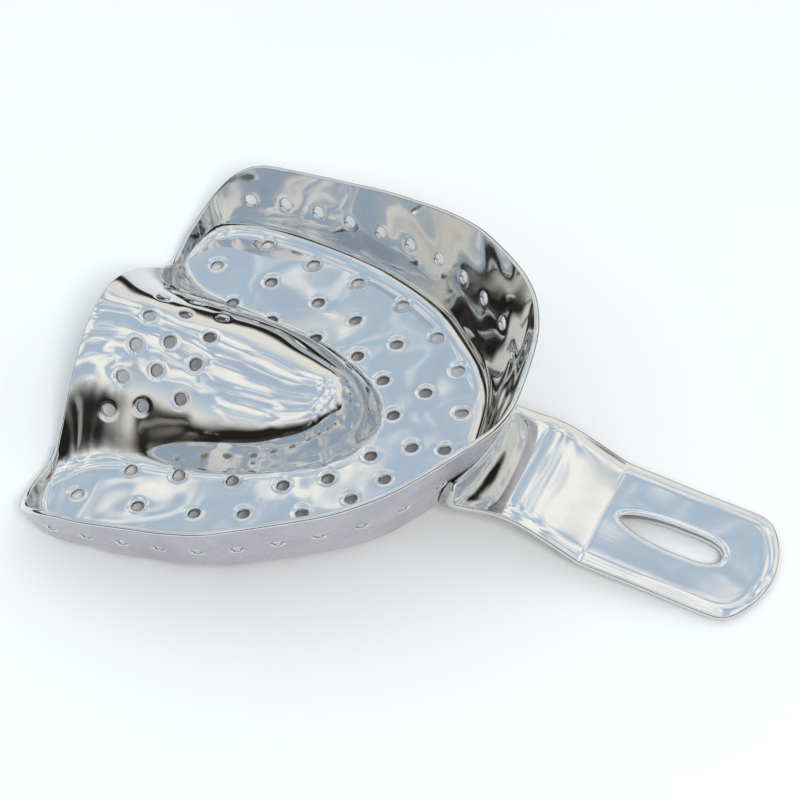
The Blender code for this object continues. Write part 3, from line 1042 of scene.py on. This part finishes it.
@dataclass
class Handle:
    """The bent strip handle: a foot on the front wall, a hump, a step down and a slotted end."""

    shell: TrayShell
    strip: float = 1.6
    half_width: float = 10.0
    foot_half_span: float = 0.19
    foot_top: float = 10.0
    foot_bottom: float = 4.0
    foot_bend_pull: float = 3.2
    hump: tuple[float, float] = (21.0, 1.5)
    hump_slope: float = -0.12
    hump_pull: float = 4.0
    step_end: tuple[float, float] = (33.5, -5.2)
    step_slope: float = -0.62
    step_pull: float = 5.0
    end_slope: float = -0.227
    tip: float = 60.2
    tip_round: float = 14.5
    corner_smoothing: int = 14
    slot_start: float = 35.7
    slot_length: float = 16.9
    slot_half_width: float = 2.7
    slot_widest: float = 0.55
    slot_fullness: float = 0.5
    slot_blunt: float = 4.5
    slot_fine: int = 260
    slot_roll: float = 0.8
    slot_thin: float = 0.22
    edge_roll: float = 2.9
    edge_thin: float = 0.42
    edge_blend: float = 1.6
    foot_length: float = 6.6
    foot_thin: float = 0.7
    foot_feather: float = 6.0
    foot_gap: float = 0.12
    foot_margin: float = 0.05
    foot_overrun: float = 1.3
    bend_length: float = 8.0
    step_length: float = 14.5
    pitch: float = 0.6
    edge_pitch: float = 0.5
    edge_rest: float = 0.2
    edge_rows: tuple[float, ...] = (0.4, 0.8, 1.2, 1.65, 2.1, 2.6, 3.1)
    slot_rows: tuple[float, ...] = (0.3, 0.6, 0.9, 1.3)
    fold_rows: tuple[float, ...] = (-0.8, -0.4, 0.0, 0.4, 0.8)
    fold_margin: float = 3.6
    fold_pitch: float = 0.45
    row_space: float = 0.6
    ease_taps: int = 25
    crease: float = 2.4
    fold_crease: float = 0.6
    fold_reach: float = 6.0
    crown: float = 0.14
    press_waves: Waves = (
        (0.24, 0.10, 0.4, 0.05), (0.42, -0.16, 2.0, 0.03), (0.10, 0.38, 3.5, 0.04)
    )

    @property
    def end_start(self) -> float:
        """The distance along the strip at which the flat end begins."""
        return self.foot_length + self.bend_length + self.step_length

    def station(self, y: Array) -> Array:
        """Returns the station on the wall behind a line of the foot."""
        return self.foot_half_span * np.minimum(np.abs(y) / self.half_width, self.foot_overrun)

    def feathered(self, plan: Array) -> Array:
        """Returns the strip's thickness, which is ground thin towards the foot's top."""
        share = smooth(plan[:, 0] / self.foot_feather)
        return self.foot_thin + (self.strip - self.foot_thin) * share

    def edge_distance(self, plan: Array) -> Array:
        """Returns the distance to the strip's sides and round tip, blended at the corners."""
        centre = np.array([self.tip - self.tip_round - self.step_end[0] + self.end_start, 0.0])
        side = self.half_width - np.abs(plan[:, 1])
        round_end = self.tip_round - np.hypot(*(plan - centre).T)
        end = np.where(plan[:, 0] > centre[0], round_end, self.tip_round)
        return -np.log(np.exp(-self.edge_blend * side) + np.exp(-self.edge_blend * end)) / self.edge_blend

    def thickness(self, plan: Array) -> Array:
        """Returns the strip's thickness with its edges rolled over by polishing."""
        side = 1.0 - np.clip(self.edge_distance(plan) / self.edge_roll, 0.0, 1.0)
        slot = 1.0 - np.clip(clearance(self.slot(self.slot_fine), plan) / self.slot_roll, 0.0, 1.0)
        ease = smooth((plan[:, 0] - self.foot_length) / self.bend_length)
        return self.feathered(plan) * (1.0 - self.edge_thin * side**3 * ease - self.slot_thin * slot**2)

    def middle(self, plan: Array) -> Array:
        """Maps the strip's middle.

        Args:
            plan: The distance along the strip from the foot's top, and the distance across it.

        Returns:
            The points on the middle of the strip.
        """
        along, y = plan.T
        station = self.station(y)
        mirror = np.stack([np.ones_like(y), np.where(y < 0.0, -1.0, 1.0), np.ones_like(y)], -1)
        outside = (self.shell.sheet + self.feathered(plan))[:, None] / 2 + self.foot_gap
        share = np.clip(along / self.foot_length, -self.foot_margin, 1.0)
        height = self.foot_top + (self.foot_bottom - self.foot_top) * share
        foot = self.shell.wall_point(station, height, outside) * mirror
        foot_end = self.shell.wall_point(station, np.full_like(y, self.foot_bottom), outside) * mirror
        leave = foot_end - self.shell.wall_slope(station) * mirror * self.foot_bend_pull

        def at(spot: tuple[float, float]) -> Array:
            """Returns a profile point on every line of the strip."""
            return np.stack([np.full_like(y, spot[0]), y, np.full_like(y, spot[1])], -1)

        hump, step = at(self.hump), at(self.step_end)
        hump_way = np.array([1.0, 0.0, self.hump_slope]) * self.hump_pull
        step_way = np.array([1.0, 0.0, self.step_slope]) * self.step_pull
        t = np.clip((along - self.foot_length) / self.bend_length, 0.0, 1.0)
        bend = cubic(foot_end, leave, hump - hump_way, hump, t)
        t = np.clip((along - self.foot_length - self.bend_length) / self.step_length, 0.0, 1.0)
        fall = cubic(hump, hump + hump_way, step - step_way, step, t)
        run = along - self.end_start
        end = step + np.stack([run, np.zeros_like(y), run * self.end_slope], -1)
        points = np.where((along < self.foot_length)[:, None], foot, bend)
        points = np.where((along > self.foot_length + self.bend_length)[:, None], fall, points)
        return np.where((along > self.end_start)[:, None], end, points)

    def eased(self, plan: Array) -> Array:
        """Maps the strip's middle with its bend lines eased, as a press leaves them."""
        total = np.zeros((len(plan), 3))
        shares = 1.0 + np.cos(np.linspace(-math.pi, math.pi, self.ease_taps)[1:-1])
        past = np.abs(plan[:, 0] - self.end_start) / self.fold_reach
        reach = self.fold_crease + (self.crease - self.fold_crease) * smooth(past)
        for offset, share in zip(np.linspace(-1.0, 1.0, len(shares)), shares):
            total += share * self.middle(plan + pair(offset * reach, 0.0))
        points = total / shares.sum()
        wave = sines(plan, self.press_waves) - self.crown * (plan[:, 1] / self.half_width) ** 2
        points[:, 2] += wave * smooth((plan[:, 0] - self.foot_length) / self.bend_length)
        return points

    def outline(self) -> Array:
        """Returns the strip's closed outline in its plan."""
        y = np.arange(-self.half_width, self.half_width + self.edge_pitch / 2, self.edge_pitch)
        x_tip = self.tip - self.tip_round + np.sqrt(self.tip_round**2 - y**2)
        tip = pair(x_tip - self.step_end[0] + self.end_start, y)
        side = np.arange(self.edge_pitch, tip[-1][0] - self.edge_rest, self.edge_pitch)
        left = pair(side[::-1], self.half_width)
        right = pair(side, -self.half_width)
        loop = np.concatenate([pair(0.0, y[::-1]), right, tip, left])
        for _ in range(self.corner_smoothing):
            loop = 0.5 * loop + 0.25 * (np.roll(loop, 1, axis=0) + np.roll(loop, -1, axis=0))
        return loop

    def slot(self, steps: int = 44) -> Array:
        """Returns the egg-shaped slot's closed outline in the strip's plan."""
        t = (1.0 - np.cos(np.linspace(0.0, math.pi, steps))) / 2
        rise = np.sin(QUARTER * np.minimum(t / self.slot_widest, 1.0)) ** self.slot_fullness
        close = np.maximum((t - self.slot_widest) / (1.0 - self.slot_widest), 0.0)
        half = self.slot_half_width * rise * np.sqrt(np.maximum(1.0 - close**self.slot_blunt, 0.0))
        x = self.slot_start + self.slot_length * t + self.end_start - self.step_end[0]
        return np.concatenate([pair(x, -half), pair(x, half)[::-1][1:-1]])

    def build(self, bench: Bench) -> bpy.types.Object:
        """Builds and dresses the handle.

        Args:
            bench: Where the piece is made.

        Returns:
            The handle.
        """
        outline, slot = self.outline(), self.slot()
        fill = honeycomb(outline.min(0), outline.max(0), self.pitch)
        rows = [inset(outline, step) for step in self.edge_rows]
        rows += [inset(slot, -step) for step in self.slot_rows]
        reach = self.half_width - self.fold_margin
        across = np.arange(-reach, reach, self.fold_pitch)
        rows += [pair(self.end_start + step, across) for step in self.fold_rows]
        fill = with_rows(fill, rows, self.row_space * self.pitch)
        chart = Chart(self.eased, outline, fill, 1.0, self.thickness, slots=[slot], spacing=self.pitch)
        shape = Sheet(self.strip, edge_bulge=0.42, edge_steps=8, edge_square=0.75).build([chart])
        strip = POLISHED_STRIP.make()
        return bench.piece("handle_strip", shape, [strip, strip], ["handle"])


@dataclass
class BrazeSeam:
    """A hollow fillet of braze metal in the corner between the foot's edge and the wall."""

    shell: TrayShell
    side: Side
    foot_half_span: float = 0.19
    gap: float = 0.3
    station_length: float = 56.0
    size: float = 1.0
    low: float = 0.47
    bottom: float = 3.0
    top: float = 10.0
    rows: int = 60
    arc: int = 7
    wave: float = 0.10
    waves: float = 9.0
    end_share: float = 0.02
    end_power: float = 0.25

    def build(self, bench: Bench) -> bpy.types.Object:
        """Builds and dresses the seam.

        Args:
            bench: Where the piece is made.

        Returns:
            The seam.
        """
        angle = np.linspace(0.0, QUARTER, self.arc)
        near = self.foot_half_span + self.gap / self.station_length
        profile = [(0.0, 0.0)] + [(1.0 - math.sin(a), 1.0 - math.cos(a)) for a in angle]
        lines = []
        for i in range(self.rows + 1):
            share = i / self.rows
            height = self.bottom + (self.top - self.bottom) * share
            kept = min(max(share, self.end_share), 1.0 - self.end_share)
            fade = math.sin(math.pi * kept) ** self.end_power
            ripple = math.sin(self.waves * share * math.pi + self.side.value)
            swell = self.size * fade * (1.0 + self.wave * ripple)
            line = []
            for along, out in profile:
                station = np.array([near + along * swell / self.station_length])
                spot = self.shell.wall_point(station, np.array([height]), self.low + out * swell)[0]
                line.append(spot * np.array([1.0, self.side.value, 1.0]))
            lines.append(np.array(line))
        points = np.concatenate(lines)
        count = len(profile)
        faces = []
        for i in range(self.rows):
            for j in range(count):
                a, b = i * count + j, i * count + (j + 1) % count
                faces.append([a, b, b + count, a + count][:: -self.side.value])
        faces.append(list(range(count))[:: self.side.value])
        faces.append([self.rows * count + j for j in range(count)][:: -self.side.value])
        normals = np.zeros_like(points)
        for loop in faces:
            a, b, c = points[loop[0]], points[loop[1]], points[loop[2]]
            normals[loop] += np.cross(b - a, c - a)
        name = f"braze_seam_{self.side.name.lower()}"
        node = f"braze_{self.side.name.lower()}"
        shape = (points, unit(normals), faces, [0] * len(faces))
        return bench.piece(name, shape, [BrazeFinish().make()], [node])


# The set: floor, light and camera


@dataclass
class Table:
    """A wide pale floor that keeps the tray's shadow."""

    half_size: float = 3.0
    colour: Colour = (0.90, 0.90, 0.91, 1.0)

    def build(self) -> bpy.types.Object:
        """Makes the floor.

        Returns:
            The floor.
        """
        material, board = new_material("pale_table")
        place = board.node("ShaderNodeTexCoord", output="Object")
        mottle = board.noise(place, 9.0, 2.0)
        colour = board.blend(mottle.ramp(0.3, 0.7), self.colour, grey(0.92))
        matt = board.node("ShaderNodeBsdfDiffuse", None, {"Color": colour})
        board.node("ShaderNodeOutputMaterial", None, {"Surface": matt})
        mesh = bpy.data.meshes.new("pale_table")
        s = self.half_size
        mesh.from_pydata([(-s, -s, 0), (s, -s, 0), (s, s, 0), (-s, s, 0)], [], [[0, 1, 2, 3]])
        mesh.materials.append(material)
        floor = set_in_scene("pale_table", mesh)
        return floor


@dataclass
class Sky:
    """Soft light from all round: pale blue overhead, white clouds and a dim skyline."""

    zenith: Colour = (0.54, 0.68, 0.82, 1.0)
    cloud: Colour = (1.2, 1.18, 1.12, 1.0)
    haze: Colour = (1.02, 1.0, 0.92, 1.0)
    land: Colour = (0.24, 0.225, 0.19, 1.0)
    skyline: Colour = (0.022, 0.02, 0.018, 1.0)
    cloud_ahead: float = 0.06
    skyline_height: float = 0.27
    skyline_swing: float = 0.45
    skyline_ahead: float = 0.10
    skyline_right: float = 0.16

    def build(self) -> bpy.types.World:
        """Makes the world.

        Returns:
            The world, set on the scene.
        """
        world = bpy.data.worlds.new("soft_sky")
        world.use_nodes = True
        board = Board(world.node_tree)
        way = board.node("ShaderNodeTexCoord", output="Generated")
        ahead, left, height = (board.node("ShaderNodeSeparateXYZ", None, {0: way}, axis) for axis in "XYZ")
        billow = board.noise(board.stretched(way, (1.0, 1.0, 1.6)), 6.0, 3.0, 0.5, 0.8)
        trees = board.noise(board.stretched(way, (1.0, 1.0, 0.3)), 2.6, 2.0, 0.5)
        thick = board.noise(way, 4.0, 3.0, 0.6)
        sky = board.blend((billow + ahead * self.cloud_ahead).ramp(0.44, 0.62), self.zenith, self.cloud)
        sky = board.blend(height.ramp(0.70, 0.40), sky, self.haze)
        rise = (trees - 0.5) * self.skyline_swing + ahead * self.skyline_ahead - left * self.skyline_right
        over = height - rise - self.skyline_height
        sky = board.blend(over.ramp(0.03, -0.03), sky, self.land)
        away = over.most(0.0 - over)
        sky = board.blend(away.ramp(0.20, 0.05) * thick.ramp(0.20, 0.42), sky, self.skyline)
        seen = board.node("ShaderNodeLightPath", output="Is Camera Ray")
        sky = board.blend(seen, sky, grey(1.0))
        light = board.node("ShaderNodeBackground", None, {"Color": sky, "Strength": 1.0})
        board.node("ShaderNodeOutputWorld", None, {"Surface": light})
        bpy.context.scene.world = world
        return world


@dataclass
class SoftBox:
    """A large soft lamp aimed at the tray."""

    name: str
    place: tuple[float, float, float]
    size: float
    power: float
    colour: tuple[float, float, float] = (1.0, 0.99, 0.97)

    def build(self) -> bpy.types.Object:
        """Makes the lamp.

        Returns:
            The lamp, aimed at the tray.
        """
        lamp = bpy.data.lights.new(self.name, "AREA")
        lamp.shape = "DISK"
        lamp.size = self.size
        lamp.energy = self.power
        lamp.color = self.colour
        made = set_in_scene(self.name, lamp)
        made.location = self.place
        made.rotation_euler = (-Vector(self.place)).to_track_quat("-Z", "Y").to_euler()
        made.visible_glossy = False
        return made


@dataclass
class Viewpoint:
    """The camera, given in the tray's own frame."""

    azimuth: float = math.radians(32.05)
    elevation: float = math.radians(47.45)
    roll: float = math.radians(-11.0)
    distance: float = 683.0
    scale: float = 6.5
    drop: float = 40.94
    image: float = 800.0
    sensor: float = 36.0

    def build(self, stance: Matrix) -> bpy.types.Object:
        """Makes the camera and sets it on the scene.

        Args:
            stance: The tray's own frame in the row frame.

        Returns:
            The camera.
        """
        a, e, r = self.azimuth, self.elevation, self.roll
        back = Vector((math.sin(a) * math.cos(e), -math.cos(a) * math.cos(e), math.sin(e)))
        level = Vector((math.cos(a), math.sin(a), 0.0))
        rise = back.cross(level)
        right = level * math.cos(r) + rise * math.sin(r)
        up = rise * math.cos(r) - level * math.sin(r)
        turn = Matrix((right, up, back)).transposed().to_4x4()
        place = (back * self.distance + up * (self.drop / self.scale)) * MM
        camera = bpy.data.cameras.new("viewpoint")
        camera.sensor_width = self.sensor
        camera.lens = self.sensor * self.scale * self.distance / self.image
        camera.clip_start = 0.01
        made = set_in_scene("viewpoint", camera)
        made.matrix_world = stance @ Matrix.Translation(place) @ turn
        bpy.context.scene.camera = made
        return made


def main() -> None:
    """Builds every piece and the set round it."""
    logging.basicConfig(level=logging.INFO, format="%(name)s %(message)s")
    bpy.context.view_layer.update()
    stance = Stance().matrix()
    bench = Bench(stance)
    Viewpoint().build(stance)
    shell = TrayShell()
    shell.build(bench)
    Handle(shell).build(bench)
    for side in Side:
        BrazeSeam(shell, side).build(bench)
    Table().build()
    Sky().build()
    SoftBox("side_softbox", (0.7, -0.9, 1.3), 0.5, 14.5).build()
    bpy.context.scene.view_settings.view_transform = "Standard"


if __name__ == "__main__":
    main()
